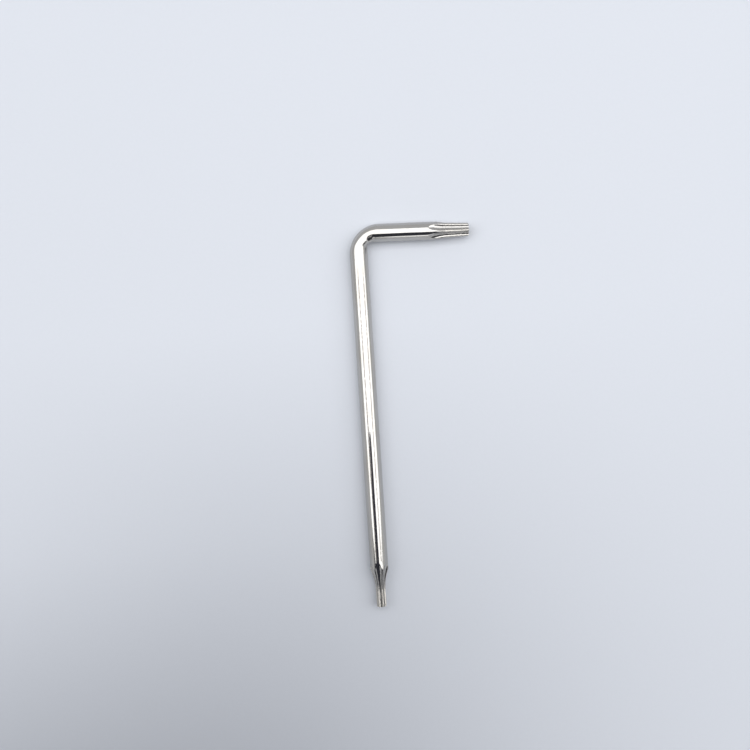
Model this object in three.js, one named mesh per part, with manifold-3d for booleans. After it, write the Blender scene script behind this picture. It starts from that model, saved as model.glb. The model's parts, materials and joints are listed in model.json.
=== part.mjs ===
// A double-ended six-lobe key: one round steel bar, bent once, with a fluted drive tip on each end.
// Millimetres, +Z up. The key lies flat, its long arm along Y and its short arm towards +X.
import * as THREE from 'three';
import { mergeVertices } from 'three/addons/utils/BufferGeometryUtils.js';
import Module from 'manifold-3d';

// The bar
const barDiameter = 3.1;
const longArmLength = 65.9; // from the outside of the short arm to the end of the long tip
const shortArmLength = 20.7; // from the outside of the long arm to the end of the short tip

// The bend
const armAngle = 88.5; // degrees between the two arms
const innerBendRadius = 0.95;
const outerBendRadius = 5.2;
const bendLead = 0.4; // straight bar that belongs to the bend section on each side

// The two drive tips, each measured from its end face
const longTip = {
  across: 1.68, // over the lobes at the end face
  root: 1.21, // over the flute bottoms at the end face
  fluteRadius: 0.36,
  neckAcross: 1.66, // over the lobes where the flare begins
  driveLength: 2.4, // end face to the start of the flare
  flareLength: 5.25, // start of the flare to the ends of the flutes in the bar
  flarePower: 2.3, // how late the flare opens: 1 is a cone, 2 a parabola
  holeDiameter: 0.8,
  holeDepth: 1.1,
  chamfer: 0.15,
  clock: 23, // degrees from straight up to the nearest lobe
};
const shortTip = {
  across: 2.36,
  root: 1.7,
  fluteRadius: 0.507,
  neckAcross: 2.66,
  driveLength: 3.6,
  flareLength: 3.3,
  flarePower: 1.8,
  holeDiameter: 1.07,
  holeDepth: 1.4,
  chamfer: 0.12,
  clock: -16,
};
const tipLead = 0.4; // straight bar that belongs to a tip section behind its flutes
const lobeCount = 6;

// Fineness of the curved faces
const barSides = 48;
const bendSteps = 14;
const flareSteps = 12;
const arcDivisions = 3;
const holeSides = 24;
const cutOvershoot = 0.5; // how far a cutting shape passes the face that it leaves

const barRadius = barDiameter / 2;
const halfAngle = THREE.MathUtils.degToRad(armAngle / 2);
const longHeading = -Math.PI / 2; // of the long arm from the corner, measured from +X
const shortHeading = longHeading + 2 * halfAngle;
const nickel = { color: 0xc0bdb8, roughness: 0.2, metalness: 1 };

const wasm = await Module();
wasm.setup();

// A closed solid from a geometry: shared corners merged and the empty triangles at poles dropped.
function solidOf(geometry) {
  const bare = geometry.clone();
  bare.deleteAttribute('normal');
  bare.deleteAttribute('uv');
  const merged = mergeVertices(bare);
  const triVerts = [];
  for (let i = 0; i < merged.index.count; i += 3) {
    const corners = [0, 1, 2].map((k) => merged.index.getX(i + k));
    if (new Set(corners).size === corners.length) {
      triVerts.push(...corners);
    }
  }
  return new wasm.Manifold(new wasm.Mesh({
    numProp: 3,
    vertProperties: Float32Array.from(merged.attributes.position.array),
    triVerts: Uint32Array.from(triVerts),
  }));
}

function geometryOf(solid) {
  const mesh = solid.getMesh();
  const geometry = new THREE.BufferGeometry();
  geometry.setAttribute('position', new THREE.BufferAttribute(mesh.vertProperties, 3));
  geometry.setIndex(new THREE.BufferAttribute(mesh.triVerts, 1));
  geometry.computeVertexNormals();
  return geometry;
}

// A skin over rings of equally many points, closed at both ends by a fan round the ring's middle.
function loft(rings) {
  const count = rings[0].length;
  const last = rings.length - 1;
  const points = rings.flat();
  const index = [];
  for (let i = 0; i < last; i++) {
    for (let j = 0; j < count; j++) {
      const a = i * count + j;
      const b = i * count + (j + 1) % count;
      index.push(a, b, b + count, a, b + count, a + count);
    }
  }
  for (const [ring, turned] of [[0, true], [last, false]]) {
    const middle = points.length;
    const sum = rings[ring].reduce((total, p) => total.add(p), new THREE.Vector3());
    points.push(sum.divideScalar(count));
    for (let j = 0; j < count; j++) {
      const a = ring * count + j;
      const b = ring * count + (j + 1) % count;
      index.push(...(turned ? [middle, b, a] : [middle, a, b]));
    }
  }
  const geometry = new THREE.BufferGeometry().setFromPoints(points);
  geometry.setIndex(index);
  geometry.computeVertexNormals();
  return geometry;
}

// The six-lobe outline at the end face: round lobes and round flutes, each tangent to the next.
// The lobes' radius is the one that lets both circles touch.
function starOutline(tip) {
  const pitch = Math.PI / lobeCount;
  const outer = tip.across / 2;
  const fluteAt = tip.root / 2 + tip.fluteRadius;
  const along = fluteAt * Math.cos(pitch);
  const lobeRadius = (outer ** 2 + fluteAt ** 2 - 2 * outer * along - tip.fluteRadius ** 2)
    / (2 * (outer - along + tip.fluteRadius));
  const lobeAt = outer - lobeRadius;
  const lean = Math.atan2(fluteAt * Math.sin(pitch), along - lobeAt); // of the line that joins the centres
  const fluteHalf = lean - pitch;
  const shape = new THREE.Shape();
  for (let k = 0; k < lobeCount; k++) {
    const lobe = 2 * pitch * k;
    const flute = lobe + pitch;
    const lobeX = lobeAt * Math.cos(lobe);
    const lobeY = lobeAt * Math.sin(lobe);
    shape.absarc(lobeX, lobeY, lobeRadius, lobe - lean, lobe + lean, false);
    const facing = flute + Math.PI;
    const fluteX = fluteAt * Math.cos(flute);
    const fluteY = fluteAt * Math.sin(flute);
    shape.absarc(fluteX, fluteY, tip.fluteRadius, facing + fluteHalf, facing - fluteHalf, true);
  }
  const points = shape.getPoints(arcDivisions);
  points.pop(); // the last point repeats the first
  return points;
}

// How far the outline has grown at a distance from the end face: a steady taper along the drive,
// then a flare that carries the flute bottoms out to the bar's surface.
function growth(tip, distance) {
  const taper = (tip.neckAcross / tip.across - 1) / tip.driveLength;
  const past = Math.max(0, distance - tip.driveLength) / tip.flareLength;
  const tapered = taper * (tip.driveLength + tip.flareLength);
  const flare = barDiameter / tip.root - 1 - tapered;
  return 1 + taper * distance + flare * past ** tip.flarePower;
}

const tipSection = (tip) => tip.driveLength + tip.flareLength + tipLead;

// A drive tip along +Y, its end face at Y = 0: the flared star shared with the chamfered bar, then drilled.
function tipGeometry(tip) {
  const length = tipSection(tip);
  const endRadius = tip.across / 2 - tip.chamfer;
  const outline = starOutline(tip);
  const turn = Math.PI / 2 - THREE.MathUtils.degToRad(tip.clock);
  const stations = [-cutOvershoot, 0, tip.driveLength];
  for (let i = 1; i <= flareSteps; i++) {
    stations.push(tip.driveLength + tip.flareLength * i / flareSteps);
  }
  stations.push(length + cutOvershoot);
  const rings = stations.map((distance) => outline.map((point) => {
    const p = point.clone().rotateAround(new THREE.Vector2(), turn).multiplyScalar(growth(tip, distance));
    return new THREE.Vector3(p.x, distance, p.y);
  }).reverse());
  const bar = new THREE.LatheGeometry([
    new THREE.Vector2(0, 0),
    new THREE.Vector2(endRadius, 0),
    new THREE.Vector2(barRadius, barRadius - endRadius),
    new THREE.Vector2(barRadius, length),
    new THREE.Vector2(0, length),
  ], barSides);
  const drill = tip.holeDepth + cutOvershoot;
  const hole = new THREE.CylinderGeometry(tip.holeDiameter / 2, tip.holeDiameter / 2, drill, holeSides);
  hole.translate(0, drill / 2 - cutOvershoot, 0);
  return geometryOf(solidOf(bar).intersect(solidOf(loft(rings))).subtract(solidOf(hole)));
}

// The bend turns about the corner where the arms' centre lines meet. Every line along the bar takes its own
// fillet, whose radius grows from the inner to the outer bend radius, so the outside is a little flattened.
const widestFillet = Math.max(outerBendRadius - barRadius, innerBendRadius + barRadius);
const bendReach = widestFillet / Math.tan(halfAngle) + bendLead; // of the bend section, along either arm
const inward = (shortHeading + longHeading) / 2; // into the corner of the L

function headingVector(heading, distance) {
  return new THREE.Vector2(Math.cos(heading), Math.sin(heading)).multiplyScalar(distance);
}

function bendGeometry() {
  const turnEnd = Math.PI - 2 * halfAngle;
  const around = Array.from({ length: barSides }, (_, j) => 2 * Math.PI * j / barSides);
  const straight = (heading, side) => around.map((angle) => {
    const aside = headingVector(heading + side * Math.PI / 2, barRadius * Math.cos(angle));
    const p = headingVector(heading, bendReach).add(aside);
    return new THREE.Vector3(p.x, p.y, barRadius * Math.sin(angle));
  });
  const turned = (turn) => around.map((angle) => {
    const inside = barRadius * Math.cos(angle); // of the centre line, towards the inside of the bend
    const share = (barRadius - inside) / barDiameter;
    const radius = THREE.MathUtils.lerp(innerBendRadius, outerBendRadius, share);
    const outward = shortHeading + Math.PI / 2 + turn;
    const centre = headingVector(inward, (inside + radius) / Math.sin(halfAngle));
    const p = centre.add(headingVector(outward, radius));
    return new THREE.Vector3(p.x, p.y, barRadius * Math.sin(angle));
  });
  const rings = [straight(shortHeading, -1)];
  for (let i = 0; i <= bendSteps; i++) {
    rings.push(turned(turnEnd * i / bendSteps));
  }
  rings.push(straight(longHeading, 1));
  return loft(rings);
}

// The straight bar from the bend to a tip, along +Y with its tip end at Y = 0.
function armGeometry(length) {
  return new THREE.CylinderGeometry(barRadius, barRadius, length, barSides).translate(0, length / 2, 0);
}

const key = new THREE.Group();

function addSection(name, geometry, heading, distance) {
  const section = new THREE.Mesh(geometry, new THREE.MeshStandardMaterial(nickel));
  section.name = name;
  const place = headingVector(heading, distance);
  section.position.set(place.x, place.y, barRadius);
  section.rotation.z = heading + Math.PI / 2;
  key.add(section);
}

// An arm and its tip lie along a heading from the corner, and both are built from the tip's end inwards.
function addArm(name, tip, overall, heading) {
  const reach = overall - barRadius;
  const armEnd = reach - tipSection(tip);
  addSection(`${name}_tip`, tipGeometry(tip), heading, reach);
  addSection(`${name}_arm`, armGeometry(armEnd - bendReach), heading, armEnd);
}

addArm('long', longTip, longArmLength, longHeading);
addArm('short', shortTip, shortArmLength, shortHeading);

const bend = new THREE.Mesh(bendGeometry(), new THREE.MeshStandardMaterial(nickel));
bend.name = 'bend';
bend.position.z = barRadius;
key.add(bend);

// The origin is under the middle of the key's outline.
const middle = new THREE.Box3().setFromObject(key, true).getCenter(new THREE.Vector3());
key.position.set(-middle.x, -middle.y, 0);

export default key;
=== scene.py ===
# A double-ended six-lobe key of plated steel bar, lying on a pale table under a soft overhead light.
import json
import math

import bpy
import numpy as np
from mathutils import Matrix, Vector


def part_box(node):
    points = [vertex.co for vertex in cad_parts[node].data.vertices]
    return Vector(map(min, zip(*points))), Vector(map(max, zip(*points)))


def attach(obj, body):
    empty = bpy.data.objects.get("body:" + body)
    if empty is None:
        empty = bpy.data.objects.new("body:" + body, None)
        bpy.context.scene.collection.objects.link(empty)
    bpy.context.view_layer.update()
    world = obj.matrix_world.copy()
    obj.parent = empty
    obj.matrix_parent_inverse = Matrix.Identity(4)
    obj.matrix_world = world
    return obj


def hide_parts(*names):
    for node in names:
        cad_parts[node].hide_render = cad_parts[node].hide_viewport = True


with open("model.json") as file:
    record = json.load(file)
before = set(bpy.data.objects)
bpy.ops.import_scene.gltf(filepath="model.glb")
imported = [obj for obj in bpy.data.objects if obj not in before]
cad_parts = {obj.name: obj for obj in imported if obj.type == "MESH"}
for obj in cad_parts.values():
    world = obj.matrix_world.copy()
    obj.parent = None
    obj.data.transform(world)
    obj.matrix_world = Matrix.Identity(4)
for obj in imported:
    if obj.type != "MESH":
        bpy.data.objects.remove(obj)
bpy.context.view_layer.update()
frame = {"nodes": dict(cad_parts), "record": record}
mm = 0.001
up = np.array([0.0, 0.0, 1.0])
fullTurn = 2 * math.pi
quarterTurn = math.pi / 2
print("frame loaded:", len(frame["nodes"]), "sections")


# The bar's layout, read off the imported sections

mounts = {mount["name"]: mount for mount in frame["record"]["mounts"]}
barLow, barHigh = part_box("long_arm")
barRadius = (barHigh.z - barLow.z) / 2
barHeight = (barHigh.z + barLow.z) / 2


# A straight arm's centre line: the middle of its box lies on it, and the mount on its tip's end face gives
# its heading. Its half length is the box's, less what the slanted end circles add.
def armLine(node, mount):
    low, high = (np.array(corner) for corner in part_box(node))
    heading = np.array(mount["axis"], float)
    main = np.argmax(np.abs(heading))
    across = barRadius * math.sqrt(1 - heading[main] ** 2)
    half = ((high - low)[main] / 2 - across) / abs(heading[main])
    return {"middle": (low + high) / 2, "half": half, "heading": heading, "end": np.array(mount["pos_m"])}


longArm = armLine("long_arm", mounts["long_tip_face"])
shortArm = armLine("short_arm", mounts["short_tip_face"])

# The corner is where the two centre lines meet.
headings = np.stack([longArm["heading"][:2], -shortArm["heading"][:2]], axis=1)
steps = np.linalg.solve(headings, (shortArm["middle"] - longArm["middle"])[:2])
corner = longArm["middle"] + steps[0] * longArm["heading"]
halfAngle = math.acos(longArm["heading"] @ shortArm["heading"]) / 2
inward = (longArm["heading"] + shortArm["heading"]) / (2 * math.cos(halfAngle))

for arm, other, sign in ((longArm, shortArm, -1), (shortArm, longArm, 1)):
    away = other["heading"] - (other["heading"] @ arm["heading"]) * arm["heading"]
    arm["inside"] = away / np.linalg.norm(away)  # from the arm towards the inside of the L
    arm["near"] = (arm["middle"] - corner) @ arm["heading"] - arm["half"]  # where the bend ends
    arm["far"] = arm["near"] + 2 * arm["half"]  # where the tip begins
    arm["end"] = (arm["end"] - corner) @ arm["heading"]  # the tip's end face
    arm["sign"] = sign  # of the run along the bar, which grows from the long tip to the short tip
armAngle = math.degrees(2 * halfAngle)
print("bar of radius", round(barRadius / mm, 3), "mm, arms at", round(armAngle, 2), "degrees")


# Shapes that several sections share

noiseLattice = {"seed": 7, "cells": 32}
noiseTable = np.random.default_rng(noiseLattice["seed"]).uniform(-1, 1, (noiseLattice["cells"],) * 3)


# The smooth step 3t^2 - 2t^3 of a part from 0 to 1.
def smooth(part):
    return part * part * (3 - 2 * part)


# The smooth step of a value, from 0 at the first limit to 1 at the second.
def ease(value, limits):
    return smooth(np.clip((value - limits[0]) / (limits[1] - limits[0]), 0, 1))


# Noise from -1 to 1: random values on a lattice of unit cells, blended by the smooth step along each axis.
def smoothNoise(points):
    cell = np.floor(points).astype(int)
    blend = smooth(points - cell)
    total = 0.0
    for corners in np.ndindex(2, 2, 2):
        at = (cell + corners) % len(noiseTable)
        weight = np.where(corners, blend, 1 - blend).prod(axis=-1)
        total = total + weight * noiseTable[at[..., 0], at[..., 1], at[..., 2]]
    return total


# The shortest way round from one angle to another, from -pi to pi.
def angleFrom(angle, start):
    return (angle - start + math.pi) % fullTurn - math.pi


# Even angles round a full turn.
def circle(columns):
    return np.arange(columns) * fullTurn / columns


# How the drawn bar departs from a true cylinder
barSurface = {
    "columns": 200,
    "oval": 4e-3 * mm,
    "ovalTurn": 60 * mm,  # run over which the oval turns by one radian
    "uneven": 2.5e-3 * mm,
    "unevenRound": 0.5 * mm,
    "unevenAlong": 0.9 * mm,
    "ridgeAngle": math.radians(87),  # a die mark along the long arm, from the inside towards the top
    "ridgeSlope": 0.06,
    "ridgeWidth": 0.35,
    "ridgeRound": 0.02,
    "ridgeFade": 4 * mm,
}


# The radius added at an angle round the bar and a run along it: an oval that turns slowly with the run, plus
# lattice noise stretched along the bar, plus a roof-shaped die mark whose slopes fade as a bell curve, on the
# long arm only.
def drawnBar(angle, run):
    size = barSurface
    oval = size["oval"] * np.cos(2 * angle + run / size["ovalTurn"])
    around = barRadius / size["unevenRound"]
    place = np.stack([around * np.cos(angle), around * np.sin(angle), run / size["unevenAlong"]], axis=-1)
    uneven = size["uneven"] * smoothNoise(place)
    aside = angleFrom(angle, size["ridgeAngle"])
    roof = size["ridgeRound"] - np.sqrt(aside ** 2 + size["ridgeRound"] ** 2)
    onLongArm = np.clip(-(run + longArm["near"]) / size["ridgeFade"], 0, 1)
    ridge = size["ridgeSlope"] * barRadius * roof * np.exp(-(aside / size["ridgeWidth"]) ** 2) * onLongArm
    return oval + uneven + ridge


# A point beside an arm: along its heading from the corner, then out by a radius, at an angle that turns from
# the inside of the L to the top.
def besideArm(arm, angle, radius, distance):
    aside = radius * np.cos(angle)
    rise = radius * np.sin(angle)
    line = distance[..., None] * arm["heading"]
    return corner + line + aside[..., None] * arm["inside"] + rise[..., None] * up


# The same point on the bar as if it were straight, in millimetres, for patterns that follow the bar.
def barPlace(angle, radius, run):
    return np.stack([radius * np.cos(angle), radius * np.sin(angle), run], axis=-1) / mm


sharpAngle = math.radians(60)  # between two faces, past which their edge stays sharp


# A closed skin over rings of points: quads from ring to ring, and a fan to a pole at each end. The inside of
# the L, the top and the run along the rings are a left-handed set, so the faces point outwards.
def skinOf(name, node, rings, poles, marks, finish):
    rows, columns = rings.shape[:2]
    points = np.concatenate([rings.reshape(-1, 3), poles])
    index = np.arange(rows * columns).reshape(rows, columns)
    beside = np.roll(index, -1, axis=1)
    quads = np.stack([index[:-1], index[1:], beside[1:], beside[:-1]], axis=-1).reshape(-1, 4)
    firstPole = np.full(columns, rows * columns)
    firstFan = np.stack([index[0], beside[0], firstPole], axis=-1)
    lastFan = np.stack([beside[-1], index[-1], firstPole + 1], axis=-1)
    mesh = bpy.data.meshes.new(name)
    mesh.from_pydata(points.tolist(), [], quads.tolist() + firstFan.tolist() + lastFan.tolist())
    for label, grid in marks.items():
        kind, field = ("FLOAT_VECTOR", "vector") if grid.ndim == 3 else ("FLOAT", "value")
        atPoles = np.stack([grid[0].mean(axis=0), grid[-1].mean(axis=0)])
        values = np.concatenate([grid.reshape(rows * columns, -1), atPoles.reshape(2, -1)])
        mesh.attributes.new(label, kind, "POINT").data.foreach_set(field, values.astype(np.float32).ravel())
    mesh.shade_smooth()
    mesh.set_sharp_from_angle(angle=sharpAngle)
    mesh.materials.append(finish)
    piece = bpy.data.objects.new(name, mesh)
    bpy.context.scene.collection.objects.link(piece)
    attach(piece, "root")
    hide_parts(node)
    print("made", name, "with", len(mesh.polygons), "faces")


# Shader values

# One socket of a node tree. Arithmetic on it adds Math nodes, and node() adds any other node.
class Wire:
    def __init__(self, tree, socket=None):
        self.tree = tree
        self.socket = socket

    # Sets the node's settings first, then its sockets' values or links, and gives one of its outputs.
    def node(self, kind, settings=None, sockets=None, output=0):
        made = self.tree.nodes.new(kind)
        for key, value in (settings or {}).items():
            setattr(made, key, value)
        for key, value in (sockets or {}).items():
            if isinstance(value, Wire):
                self.tree.links.new(value.socket, made.inputs[key])
            else:
                made.inputs[key].default_value = value
        return Wire(self.tree, made.outputs[output] if len(made.outputs) else None)

    def math(self, operation, first, second):
        return self.node("ShaderNodeMath", {"operation": operation}, {0: first, 1: second})

    def __add__(self, other):
        return self.math("ADD", self, other)

    def __radd__(self, other):
        return self.math("ADD", other, self)

    def __sub__(self, other):
        return self.math("SUBTRACT", self, other)

    def __rsub__(self, other):
        return self.math("SUBTRACT", other, self)

    def __mul__(self, other):
        return self.math("MULTIPLY", self, other)

    def __rmul__(self, other):
        return self.math("MULTIPLY", other, self)

    def __abs__(self):
        return self.node("ShaderNodeMath", {"operation": "ABSOLUTE"}, {0: self})

    # A smooth step from 0 at low to 1 at high; low above high turns it round.
    def step(self, low, high):
        limits = {"Value": self, "From Min": low, "From Max": high}
        return self.node("ShaderNodeMapRange", {"interpolation_type": "SMOOTHSTEP"}, limits)

    # What the mesh carries at its points under a label: "Fac" for a number, "Vector" for a place.
    def mark(self, label, output="Fac"):
        return self.node("ShaderNodeAttribute", {"attribute_name": label}, output=output)

    # Noise on this vector, stretched by a scale for each axis.
    def noise(self, scale, detail=2.0, shift=0.0):
        mapping = {"Vector": self, "Scale": scale, "Location": (shift,) * 3}
        stretched = self.node("ShaderNodeMapping", None, mapping)
        return self.node("ShaderNodeTexNoise", None, {"Vector": stretched, "Scale": 1.0, "Detail": detail})

    # The distance to the nearest of scattered points, so many to the unit.
    def scatter(self, scale):
        return self.node("ShaderNodeTexVoronoi", None, {"Vector": self, "Scale": scale})

    # One colour or another, by this value as the share of the second.
    def tint(self, first, second):
        sockets = {0: self, 6: first, 7: second}
        return self.node("ShaderNodeMix", {"data_type": "RGBA"}, sockets, output=2)

    # A bump with this value as its height, in units of a depth.
    def relief(self, depth):
        return self.node("ShaderNodeBump", None, {"Strength": 1.0, "Distance": depth, "Height": self})


# A base plus each pattern times the weight of its name.
def weighed(base, weights, patterns):
    total = base
    for label, weight in weights.items():
        total = total + weight * patterns[label]
    return total


# An empty material and a wire to start its nodes from.
def newFinish(name):
    finish = bpy.data.materials.new(name)
    finish.use_nodes = True
    finish.node_tree.nodes.clear()
    return finish, Wire(finish.node_tree)


# One surface shader with these sockets ends the material.
def closeFinish(start, sockets):
    shader = start.node("ShaderNodeBsdfPrincipled", None, sockets)
    start.node("ShaderNodeOutputMaterial", None, {"Surface": shader})


# Bright nickel over drawn steel. Patterns are in repeats to the millimetre: across the bar, up and along it.
barNickel = {
    "plate": (0.485, 0.473, 0.454, 1),
    "worn": (0.45, 0.431, 0.403, 1),
    "pit": (0.16, 0.14, 0.13, 1),
    "polish": 0.06,  # roughness of clean plate
    "lineDepth": 1.2e-3 * mm,
    "lines": (7, 7, 0.08),
    "hairs": (24, 24, 0.5),
    "chatter": (3.2, 3.2, 4.5),
    "clouds": (0.45, 0.45, 0.2),
    "cloudEdge": (0.4, 0.75),
    "scratches": (4, 4, 0.05),
    "scratchWidth": 0.012,  # share of the noise's range
    "pits": 1.6,
    "pitEdge": (0.09, 0.05),
    "pitPatches": (0.7, 0.7, 0.5),
    "pitPatchEdge": (0.52, 0.62),
    # what each pattern adds to the roughness and to the height
    "rough": {"lines": 0.05, "worn": 0.05, "scratches": 0.12, "pits": 0.3},
    "height": {"lines": 1.0, "hairs": 0.4, "chatter": 1.2, "scratches": -0.5, "pits": -1.5},
}
# Dark scores along the top of the long arm, in millimetres
barScores = {
    "lines": ((-0.33, 0.0, 0.13), (0.58, 0.003, 0.11)),  # from the middle, drift along the run, half width
    "core": 0.3,  # share of the half width that is fully dark
    "breaks": (0.5, 0.5, 2.2),
    "breakEdge": (0.22, 0.55),
    "riseEdge": (0.2, 0.6),  # over the centre line
    "startEdge": (-5.0, -9.0),  # run from the corner
    "dark": 0.8,
    "rough": 0.2,
}


# The scores' mask: narrow bands round lines that drift with the run, broken up by noise, on the top only.
def scoreMask(place):
    look = barScores
    split = [place.node("ShaderNodeSeparateXYZ", None, {"Vector": place}, output=axis) for axis in "XYZ"]
    across, rise, run = split
    total = 0.0
    for number, (aside, drift, width) in enumerate(look["lines"]):
        gap = abs(across - (run * drift + aside))
        broken = place.noise(look["breaks"], detail=3, shift=3.0 * number).step(*look["breakEdge"])
        total = gap.step(width, look["core"] * width) * broken + total
    return total * rise.step(*look["riseEdge"]) * run.step(*look["startEdge"])


# The plate's colour, roughness and height: fine lines and hairs along the bar, cross chatter, cloudy wear,
# hairline scratches where a stretched noise passes its middle, and pits in patches.
def plateLook(place):
    look = barNickel
    inPatch = place.noise(look["pitPatches"], shift=9.0).step(*look["pitPatchEdge"])
    fromMiddle = abs(place.noise(look["scratches"], shift=5.0) - 0.5)
    patterns = {
        "lines": place.noise(look["lines"], detail=4),
        "hairs": place.noise(look["hairs"], detail=1),
        "chatter": place.noise(look["chatter"], detail=1, shift=7.0),
        "worn": place.noise(look["clouds"], detail=3).step(*look["cloudEdge"]),
        "scratches": fromMiddle.step(look["scratchWidth"], 0.0),
        "pits": place.scatter(look["pits"]).step(*look["pitEdge"]) * inPatch,
    }
    colour = patterns["worn"].tint(look["plate"], look["worn"])
    return {
        "colour": patterns["pits"].tint(colour, look["pit"]),
        "roughness": weighed(look["polish"], look["rough"], patterns),
        "height": weighed(0.0, look["height"], patterns),
    }


# The bar's finish: the plate, darker and rougher in the scores.
def makeBarNickel():
    finish, start = newFinish("barNickel")
    place = start.mark("barPlace", "Vector")
    look = plateLook(place)
    scores = scoreMask(place)
    closeFinish(start, {
        "Base Color": (barScores["dark"] * scores).tint(look["colour"], barNickel["pit"]),
        "Roughness": look["roughness"] + barScores["rough"] * scores,
        "Metallic": 1.0,
        "Normal": look["height"].relief(barNickel["lineDepth"]),
    })
    return finish


# The tips: the bar's plate on what is left of the bar's surface, a duller one in the pressed flutes, with
# painted shade and some residue towards their bottoms, and a grainy one, cut through the plate, on the end
# face and in the hole.
tipNickel = {
    "flute": (0.49, 0.476, 0.457, 1),
    "crest": (0.70, 0.665, 0.60, 1),  # where use has rubbed the lobes
    # the colour that dull grain, pits, and painted shade with residue in the flute bottoms take the flutes
    # towards
    "fluteDullAndShade": (0.06, 0.057, 0.055, 1),
    "cut": (0.64, 0.57, 0.47, 1),
    "cutDark": (0.29, 0.245, 0.195, 1),
    # painted shade inside the hole
    "hole": (0.10, 0.10, 0.10, 1),
    "grainDepth": 4e-3 * mm,
    "grain": (9, 9, 4),
    "dullEdge": (0.55, 0.3),
    "dullShare": 0.2,
    "specks": 5.0,
    "speckEdge": (0.22, 0.1),
    "speckPatches": (2, 2, 1.2),
    "speckPatchEdge": (0.5, 0.62),
    "crumb": (22, 22, 22),
    "crumbEdge": (0.58, 0.36),
    "plateHeight": 0.2,
    "crumbHeight": 1.6,
    "flutePolish": 0.11,
    "fluteRough": {"grain": 0.08, "wear": 0.2},
    "cutPolish": 0.28,
    "cutRough": {"crumb": 0.2},
}


# The tips' finish: masks that the mesh carries choose between plate, flute, cut face and hole, and each has
# its own colour, roughness and height. Painted shade darkens the hole with its depth, and painted shade with
# some residue darkens the flute bottoms.
def makeTipNickel():
    look = tipNickel
    finish, start = newFinish("tipNickel")
    place = start.mark("barPlace", "Vector")
    plate = plateLook(place)
    labels = ("pressed", "cutFace", "holeDepth", "wear", "shadeAndResidue")
    pressed, cut, hole, wear, shadeAndResidue = (start.mark(label) for label in labels)
    grain = place.noise(look["grain"], detail=3)
    inPatch = place.noise(look["speckPatches"], shift=2.0).step(*look["speckPatchEdge"])
    specks = place.scatter(look["specks"]).step(*look["speckEdge"]) * inPatch
    crumb = place.noise(look["crumb"], detail=2, shift=4.0)
    patterns = {"grain": grain, "wear": wear, "crumb": crumb}

    # painted shade with some residue at the flute bottoms joins the dull grain and the pits
    dullAndShade = grain.step(*look["dullEdge"]) * look["dullShare"] + specks + shadeAndResidue
    flute = dullAndShade.tint(wear.tint(look["flute"], look["crest"]), look["fluteDullAndShade"])
    cutColour = crumb.step(*look["crumbEdge"]).tint(look["cut"], look["cutDark"])
    colour = cut.tint(pressed.tint(plate["colour"], flute), cutColour)

    uncut = 1 - cut
    onPlate = plate["height"] * look["plateHeight"] * uncut
    height = onPlate + (grain - specks) * pressed * uncut + look["crumbHeight"] * crumb * cut
    fluteRough = weighed(look["flutePolish"], look["fluteRough"], patterns)
    cutRough = weighed(look["cutPolish"], look["cutRough"], patterns)
    rough = plate["roughness"] * (1 - pressed) + fluteRough * pressed
    closeFinish(start, {
        # painted shade that deepens into the hole
        "Base Color": hole.tint(colour, look["hole"]),
        "Roughness": rough * uncut + cutRough * cut,
        "Metallic": 1.0,
        "Normal": height.relief(look["grainDepth"]),
    })
    return finish


barFinish = makeBarNickel()
tipFinish = makeTipNickel()
print("finishes made:", barFinish.name, tipFinish.name)


# The straight arms

armShape = {"step": 0.2 * mm}  # between rings


# Circles of the drawn bar's radius at even steps along the arm's centre line.
def makeArm(name, node, arm):
    count = math.ceil(2 * arm["half"] / armShape["step"])
    distance = np.linspace(arm["far"], arm["near"], count + 1)[:, None]
    if arm["sign"] > 0:
        distance = distance[::-1]
    angle = circle(barSurface["columns"])[None, :]
    angle, distance = np.broadcast_arrays(angle, distance)
    run = arm["sign"] * distance
    radius = barRadius + drawnBar(angle, run)
    rings = besideArm(arm, angle, radius, distance)
    poles = corner + distance[[0, -1], :1] * arm["heading"]
    skinOf(name, node, rings, poles, {"barPlace": barPlace(angle, radius, run)}, barFinish)


makeArm("longArm", "long_arm", longArm)
makeArm("shortArm", "short_arm", shortArm)


# The bend

bendShape = {
    "innerRadius": 0.95 * mm,
    "outerRadius": 5.2 * mm,
    "leadRows": 8,
    "turnRows": 120,
    # pinched folds inside the bend: share of the turn, half width in shares, depth, half reach round the bar
    "folds": ((0.2, 0.05, 0.09 * mm, 0.55), (0.4, 0.05, 0.13 * mm, 0.65)),
    "square": 0.10,  # how far the section swells between its top and its inside, in bar radii
    "squareAt": 0.42,  # share of the turn where it swells most
    "squareWidth": 0.2,
    # the pinched edge towards the short arm: height in bar radii, place round the bar, half width, rounding
    "edge": 0.10,
    "edgeAngle": math.radians(38),
    "edgeHalf": math.radians(28),
    "edgeRound": 0.08,
    "edgeStart": (0.5, 0.6),  # shares of the turn over which it rises
    "edgeEnd": (0.85, 1.0),  # and over which it sinks
}


# How far the inside of the bend is pushed in, at a share of the turn and an angle round the bar: bell-shaped
# folds across the inside, on a section that swells where the steel had nowhere to go. It swells by the
# squared sine of twice the angle, and towards the short arm by a roof-shaped edge.
def pinch(share, angle):
    size = bendShape
    aside = angleFrom(angle, 0)
    squared = np.where(np.abs(aside) < quarterTurn, np.sin(2 * aside) ** 2, 0)
    bell = np.exp(-((share - size["squareAt"]) / size["squareWidth"]) ** 2)
    beside = (np.abs(aside) - size["edgeAngle"]) / size["edgeHalf"]
    roof = np.clip(1 + size["edgeRound"] - np.hypot(beside, size["edgeRound"]), 0, 1)
    onEdge = ease(share, size["edgeStart"]) * (1 - ease(share, size["edgeEnd"]))
    swell = np.maximum(size["square"] * squared * bell, size["edge"] * roof * onEdge)
    total = -swell * barRadius
    for middle, width, depth, reach in size["folds"]:
        total = total + depth * np.exp(-((share - middle) / width) ** 2 - (aside / reach) ** 2)
    return total


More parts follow.
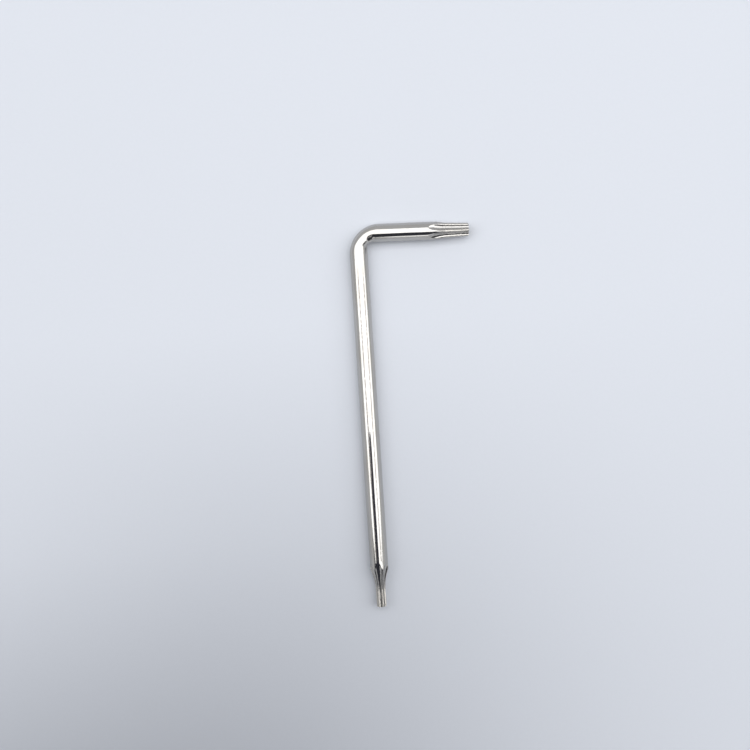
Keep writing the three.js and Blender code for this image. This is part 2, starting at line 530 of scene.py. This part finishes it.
# The turn itself: every line along the bar takes its own fillet between the arms. Its radius grows evenly
# from the inner to the outer bend radius, and its centre lies on the corner's bisector, so that it touches
# the line on both arms.
def bendTurn():
    angle = circle(barSurface["columns"])[None, :]
    share = np.linspace(0, 1, bendShape["turnRows"] + 1)[:, None]
    angle, share = np.broadcast_arrays(angle, share)
    run = (2 * share - 1) * longArm["near"]
    radius = barRadius + drawnBar(angle, run) - pinch(share, angle)
    inside = radius * np.cos(angle)
    even = (1 - np.cos(angle)) / 2
    fillet = bendShape["innerRadius"] + even * (bendShape["outerRadius"] - bendShape["innerRadius"])
    turn = share * (math.pi - 2 * halfAngle)
    outward = -np.cos(turn)[..., None] * longArm["inside"] - np.sin(turn)[..., None] * longArm["heading"]
    centre = ((inside + fillet) / math.sin(halfAngle))[..., None] * inward
    turned = corner + centre + fillet[..., None] * outward + (radius * np.sin(angle))[..., None] * up
    return angle, run, radius, turned


# The turn with a short straight lead on each arm, from the seam to where each line's fillet begins.
def makeBend():
    angle, run, radius, turned = bendTurn()
    leadRows = bendShape["leadRows"]
    part = np.linspace(0, 1, leadRows, endpoint=False)[:, None, None]
    leads = []
    for arm, row in ((longArm, 0), (shortArm, -1)):
        rim = barRadius + drawnBar(angle[row], run[row])
        seam = besideArm(arm, angle[row], rim, np.full(angle.shape[1], arm["near"]))
        leads.append(seam + part * (turned[row] - seam))
    rings = np.concatenate([leads[0], turned, leads[1][::-1]])
    last = len(turned) - 1
    rows = np.clip(np.arange(-leadRows, last + 1 + leadRows), 0, last)  # a lead repeats the turn's end row
    place = barPlace(angle, radius, run)[rows]
    poles = np.stack([corner + arm["near"] * arm["heading"] for arm in (longArm, shortArm)])
    skinOf("bentCorner", "bend", rings, poles, {"barPlace": place}, barFinish)


makeBend()


# The two drive tips, measured from their end faces

longTip = {
    "across": 1.68 * mm,  # over the lobes at the end face
    "root": 1.21 * mm,  # over the flute bottoms at the end face
    "fluteRadius": 0.36 * mm,
    "neckAcross": 1.66 * mm,  # over the lobes where the flare begins
    "driveLength": 2.4 * mm,
    "flareLength": 5.25 * mm,
    "flarePower": 2.3,
    "holeRadius": 0.4 * mm,
    "holeDepth": 1.1 * mm,
    "chamfer": 0.15 * mm,
    "endRound": 0.35 * mm,
    "wear": 0.9,  # how far use has rubbed the lobes
    # painted shade and residue in the flute bottoms, by how dark they are
    "shadeAndResidue": 0.8,  # how dark the flute bottoms are
    "clock": math.radians(23),  # from straight up to the nearest lobe, towards the inside of the L
}
shortTip = {
    "across": 2.36 * mm,
    "root": 1.7 * mm,
    "fluteRadius": 0.507 * mm,
    "neckAcross": 2.66 * mm,
    "driveLength": 3.6 * mm,
    "flareLength": 3.3 * mm,
    "flarePower": 1.8,
    "holeRadius": 0.535 * mm,
    "holeDepth": 1.4 * mm,
    "chamfer": 0.12 * mm,
    "endRound": 0.2 * mm,
    "wear": 0.4,
    # painted shade and residue in the flute bottoms, by how dark they are
    "shadeAndResidue": 0.3,
    "clock": math.radians(16),
}
tipShape = {
    "lobes": 6,
    "edgeRound": 0.05 * mm,
    "rimRound": 0.05 * mm,
    "crispness": 55,  # of the edges between the star and the bar
    "coneSlack": 1.01,  # the chamfer's cone past the lobes, in lobe radii
    "coneRise": 9,  # its slope behind the rounded end
    "grain": 0.010 * mm,
    "grainCell": 0.06 * mm,
    "grainBase": 0.4,  # share of the grain that noise leaves alone
    "wearFade": 1.6 * mm,  # past the drive
    # past the drive, over which the painted shade and residue in the flute bottoms fade out
    "shadeAndResidueFade": 4.5 * mm,
    "sunkRound": 0.03 * mm,  # depth below the bar at which a flute has its full finish
    "ripple": 0.009 * mm,
    "rippleRound": 0.16 * mm,
    "rippleAlong": 0.28 * mm,
    "holeShade": 0.5,  # share of the hole's depth at which it is darkest
    "floorStart": 0.1,  # first ring of the hole's floor, in hole radii
    "columns": 300,
    "flankRows": 190,
    "faceRows": 22,
    "wallRows": 12,
    "floorRows": 8,
    "roundRows": 5,
}


# The six-lobe outline in polar form: round lobes and round flutes, each tangent to the next. The lobes'
# radius is the one that lets both circles touch, and the two meet on the line through their centres.
def starRadius(tip, angle):
    pitch = math.pi / tipShape["lobes"]
    outer = tip["across"] / 2
    fluteAt = tip["root"] / 2 + tip["fluteRadius"]
    along = fluteAt * math.cos(pitch)
    squares = outer ** 2 + fluteAt ** 2 - 2 * outer * along - tip["fluteRadius"] ** 2
    lobeRadius = squares / (2 * (outer - along + tip["fluteRadius"]))
    lobeAt = outer - lobeRadius
    lean = math.atan2(fluteAt * math.sin(pitch), along - lobeAt)
    touch = math.atan2(lobeRadius * math.sin(lean), lobeAt + lobeRadius * math.cos(lean))
    fromLobe = np.abs((angle + pitch) % (2 * pitch) - pitch)
    fromFlute = pitch - fromLobe
    lobeRoot = np.sqrt(np.maximum(0, lobeRadius ** 2 - (lobeAt * np.sin(fromLobe)) ** 2))
    fluteRoot = np.sqrt(np.maximum(0, tip["fluteRadius"] ** 2 - (fluteAt * np.sin(fromFlute)) ** 2))
    onLobe = lobeAt * np.cos(fromLobe) + lobeRoot
    onFlute = fluteAt * np.cos(fromFlute) - fluteRoot
    return np.where(fromLobe < touch, onLobe, onFlute)


# The outline's growth with the distance from the end face: a steady taper along the drive, then a flare by a
# power of the way along it, which carries the flute bottoms out to the bar's surface.
def starGrowth(tip, distance):
    taper = (tip["neckAcross"] / tip["across"] - 1) / tip["driveLength"]
    past = np.maximum(0, distance - tip["driveLength"]) / tip["flareLength"]
    flare = 2 * barRadius / tip["root"] - 1 - taper * (tip["driveLength"] + tip["flareLength"])
    return 1 + taper * distance + flare * past ** tip["flarePower"]


# The tip's flank: the least of the grown star, the chamfer's rounded cone and the bar, with the edges between
# them rounded by taking the sum of high inverse powers.
def flankRadius(tip, angle, distance, bar):
    star = starRadius(tip, angle - (quarterTurn - tip["clock"])) * starGrowth(tip, distance)
    left = np.clip(1 - distance / tip["endRound"], 0, 1)
    rounded = tipShape["coneSlack"] * tip["across"] / 2 - tip["chamfer"] * (1 - np.sqrt(1 - left ** 2))
    cone = rounded + tipShape["coneRise"] * np.maximum(0, distance - tip["endRound"])
    power = tipShape["crispness"]
    total = (barRadius / star) ** power + (barRadius / cone) ** power + (barRadius / bar) ** power
    return barRadius * total ** (-1 / power)


# The hole as radii and depths: out along its flat floor, up its wall and over a quarter turn to the end face.
def holeProfile(tip, angle):
    size = tipShape
    floorShare = np.linspace(size["floorStart"], 1, size["floorRows"])[:, None]
    floorRadius = tip["holeRadius"] * floorShare + 0 * angle
    floorDepth = tip["holeDepth"] + 0 * floorRadius
    wallDepth = np.linspace(tip["holeDepth"], size["rimRound"], size["wallRows"] + 1)[1:, None] + 0 * angle
    wallRadius = tip["holeRadius"] + 0 * wallDepth
    turn = np.linspace(0, quarterTurn, size["roundRows"], endpoint=False)[::-1, None] + 0 * angle
    rimDepth = size["rimRound"] * (1 - np.cos(turn))
    rimRadius = tip["holeRadius"] + size["rimRound"] * (1 - np.sin(turn))
    radius = np.concatenate([floorRadius, wallRadius, rimRadius])
    depth = np.concatenate([floorDepth, wallDepth, rimDepth])
    return radius, depth


# The end face: even radii from the hole's rim to the edge, sunk by lattice noise that dies out at both ends
# as a half sine.
def faceProfile(tip, angle, edge):
    size = tipShape
    share = np.linspace(0, 1, size["faceRows"] + 1)[1:, None]
    start = tip["holeRadius"] + size["rimRound"]
    radius = start + share * (edge - start)
    place = np.stack([radius * np.cos(angle), radius * np.sin(angle), 0 * radius], axis=-1)
    grain = size["grainBase"] + (1 - size["grainBase"]) * smoothNoise(place / size["grainCell"])
    depth = size["grain"] * np.sin(math.pi * share) * grain
    return radius, depth


# The rounded edge between the end face and the flank: a quarter turn just inside the flank.
def edgeProfile(tip, angle, bar):
    size = tipShape
    turn = np.linspace(0, quarterTurn, size["roundRows"], endpoint=False)[1:, None] + 0 * angle
    depth = size["edgeRound"] * (1 - np.cos(turn))
    radius = flankRadius(tip, angle, depth, bar) - size["edgeRound"] * (1 - np.sin(turn))
    return radius, depth


# The flank's finish: sunk is how far it lies below the bar, wear grows towards the lobes' crests, painted
# shade with some residue towards the flute bottoms, and both fade past the drive.
def flankMarks(tip, depth, flank, bar):
    size = tipShape
    sunk = np.clip((bar - flank) / size["sunkRound"], 0, 1)
    crest = np.minimum(tip["across"] / 2 * starGrowth(tip, depth), bar)
    root = np.minimum(tip["root"] / 2 * starGrowth(tip, depth), bar)
    groove = np.clip((crest - flank) / (crest - root + size["sunkRound"]), 0, 1)
    past = depth - tip["driveLength"]
    wear = tip["wear"] * sunk * (1 - groove) * np.clip(1 - past / size["wearFade"], 0, 1)
    # painted shade with some residue, growing towards the flute bottoms
    shadeAndResidue = tip["shadeAndResidue"] * sunk * np.clip(2 * groove - 1, 0, 1) * np.clip(1 - past / size["shadeAndResidueFade"], 0, 1)
    return sunk, wear, shadeAndResidue


# One profile carried round the tip: the hole, the end face, the rounded edge and the flank to the seam with
# the arm. The pressed part of the flank is sunk a little more by lattice noise.
def makeTip(name, node, arm, tip):
    size = tipShape
    angle = circle(size["columns"])[None, :]
    bar = barRadius + drawnBar(angle, arm["sign"] * arm["far"] + 0 * angle)
    edge = flankRadius(tip, angle, 0.0, bar) - size["edgeRound"]
    holeRadius, holeDepth = holeProfile(tip, angle)
    faceRadius, faceDepth = faceProfile(tip, angle, edge)
    edgeRadius, edgeDepth = edgeProfile(tip, angle, bar)

    length = arm["end"] - arm["far"]
    flankDepth = np.linspace(size["edgeRound"], length, size["flankRows"])[:, None] + 0 * angle
    flankBar = barRadius + drawnBar(angle + 0 * flankDepth, arm["sign"] * (arm["end"] - flankDepth))
    flank = flankRadius(tip, angle, flankDepth, flankBar)
    sunk, wear, shadeAndResidue = flankMarks(tip, flankDepth, flank, flankBar)
    around = flank / size["rippleRound"]
    along = flankDepth / size["rippleAlong"]
    place = np.stack([around * np.cos(angle), around * np.sin(angle), along], axis=-1)
    flank = flank - sunk * size["ripple"] * (1 + smoothNoise(place))

    radius = np.concatenate([holeRadius, faceRadius, edgeRadius, flank])
    depth = np.concatenate([holeDepth, faceDepth, edgeDepth, flankDepth])
    angle = angle + 0 * depth
    distance = arm["end"] - depth
    rings = besideArm(arm, angle, radius, distance)
    poles = corner + np.array([arm["end"] - tip["holeDepth"], arm["far"]])[:, None] * arm["heading"]

    row = np.arange(len(depth))[:, None] + 0 * angle
    inHole = row < size["floorRows"] + size["wallRows"]
    onCut = row < len(holeDepth) + len(faceDepth)
    front = np.zeros((len(depth) - len(flank), size["columns"]))  # the rows before the flank
    marks = {
        "barPlace": barPlace(angle, radius, arm["sign"] * distance),
        "pressed": np.concatenate([front + 1, sunk]),
        "cutFace": np.where(onCut, 1.0, 0.0),
        # painted shade in the hole: none at its rim, full at holeShade of its depth
        "holeDepth": np.where(inHole, np.clip(depth / (size["holeShade"] * tip["holeDepth"]), 0, 1), 0),
        "wear": np.concatenate([front + tip["wear"], wear]),
        # painted shade and residue in the flute bottoms, none before the flank
        "shadeAndResidue": np.concatenate([front, shadeAndResidue]),
    }
    if arm["sign"] > 0:
        rings = rings[::-1]
        poles = poles[::-1]
        marks = {label: grid[::-1] for label, grid in marks.items()}
    skinOf(name, node, rings, poles, marks, tipFinish)


makeTip("longTip", "long_tip", longArm, longTip)
makeTip("shortTip", "short_tip", shortArm, shortTip)


# The table, the light and the camera, in metres

tableBoard = {
    "size": 2.6,
    "colour": (0.684, 0.71, 0.764, 1),
    "shade": (0.65, 0.675, 0.727, 1),
    "specks": (1800, 1800, 1800),  # repeats to the metre
    "clouds": (14, 14, 14),
    "roughness": 0.55,
    "speckRough": 0.1,
    "gloss": 0.2,
}


# A level rectangle on the stage between its lowest and highest corner.
def flatPiece(name, low, high, height, finish):
    (x0, y0), (x1, y1) = low, high
    corners = [(x0, y0, height), (x1, y0, height), (x1, y1, height), (x0, y1, height)]
    mesh = bpy.data.meshes.new(name)
    mesh.from_pydata(corners, [], [(0, 1, 2, 3)])
    mesh.materials.append(finish)
    piece = bpy.data.objects.new(name, mesh)
    bpy.context.scene.collection.objects.link(piece)
    return piece


# A pale board: two colours mixed by half fine specks and half broad clouds.
def makeTable():
    finish, start = newFinish("tableBoard")
    place = start.node("ShaderNodeTexCoord", output="Object")
    speck = place.noise(tableBoard["specks"], detail=3)
    cloud = place.noise(tableBoard["clouds"], detail=2)
    closeFinish(start, {
        "Base Color": (0.5 * speck + 0.5 * cloud).tint(tableBoard["colour"], tableBoard["shade"]),
        "Roughness": tableBoard["roughness"] + tableBoard["speckRough"] * speck,
        "Specular IOR Level": tableBoard["gloss"],
    })
    half = tableBoard["size"] / 2
    flatPiece("table", (-half, -half), (half, half), 0, finish)


# Dark cards that shade the panels, each by its lowest and highest corner and its height
darkCards = {
    "nearCard": ((-0.052, -0.29), (-0.007, -0.007), 0.07),
    "lowCard": ((-0.17, -0.42), (-0.032, -0.047), 0.098),
    "farCard": ((-1.0, -1.06), (0.27, -0.2), 0.58),
    "sideCard": ((0.27, -1.1), (0.8, -0.28), 0.58),
}
cardFinish = {"colour": (0.08, 0.08, 0.10, 1), "roughness": 0.8}


# The plate shows the cards as dark bands, and the camera doesn't see them.
def makeCards():
    finish, start = newFinish("darkCard")
    closeFinish(start, {"Base Color": cardFinish["colour"], "Roughness": cardFinish["roughness"]})
    for name, (low, high, height) in darkCards.items():
        card = flatPiece(name, low, high, height, finish)
        card.visible_camera = False


# Soft panels over the table, each by its lowest and highest corner and its radiance
softPanels = {
    "mainPanel": ((-0.86, -0.183), (1.25, 0.445), 1.75),
    "frontPanel": ((-0.6, -2.2), (0.25, -1.08), 1.05),
}
panelHeight = 0.6


# A panel's power is its radiance times pi times its area.
def makePanels():
    for name, (low, high, radiance) in softPanels.items():
        lamp = bpy.data.lights.new(name, "AREA")
        lamp.shape = "RECTANGLE"
        lamp.size = high[0] - low[0]
        lamp.size_y = high[1] - low[1]
        lamp.energy = radiance * math.pi * lamp.size * lamp.size_y
        panel = bpy.data.objects.new(name, lamp)
        panel.location = ((low[0] + high[0]) / 2, (low[1] + high[1]) / 2, panelHeight)
        bpy.context.scene.collection.objects.link(panel)


room = {
    "light": (0.47, 0.48, 0.495, 1),  # what it adds to the light
    "seen": (0.70, 0.715, 0.735, 1),  # what is seen of it, in the picture and in the plate
}


# The world: its seen colour for camera, glossy and transmission rays, and its light for all others.
def makeRoom():
    world = bpy.data.worlds.new("room")
    world.use_nodes = True
    world.node_tree.nodes.clear()
    start = Wire(world.node_tree)
    kinds = ("Is Camera Ray", "Is Glossy Ray", "Is Transmission Ray")
    camera, glossy, through = (start.node("ShaderNodeLightPath", output=kind) for kind in kinds)
    colour = (camera + glossy + through).tint(room["light"], room["seen"])
    light = start.node("ShaderNodeBackground", None, {"Color": colour})
    start.node("ShaderNodeOutputWorld", None, {"Surface": light})
    bpy.context.scene.world = world


shot = {
    "target": (-7.37 * mm, 6.95 * mm),
    "width": 129.2 * mm,  # of the picture, at the height of the bar's centre line
    "height": 170 * mm,  # over the centre line
    "roll": math.radians(-3.776),
    "clipStart": 0.01,
}


# Looking straight down: the lens is to the sensor's width as the height is to the picture's width.
def makeCamera():
    lens = bpy.data.cameras.new("camera")
    lens.lens = lens.sensor_width * shot["height"] / shot["width"]
    lens.clip_start = shot["clipStart"]
    camera = bpy.data.objects.new("camera", lens)
    camera.location = (*shot["target"], barHeight + shot["height"])
    camera.rotation_euler = (0, 0, shot["roll"])
    bpy.context.scene.collection.objects.link(camera)
    bpy.context.scene.camera = camera
    bpy.context.scene.view_settings.view_transform = "Standard"


makeTable()
makeCards()
makePanels()
makeRoom()
makeCamera()
print("studio ready")
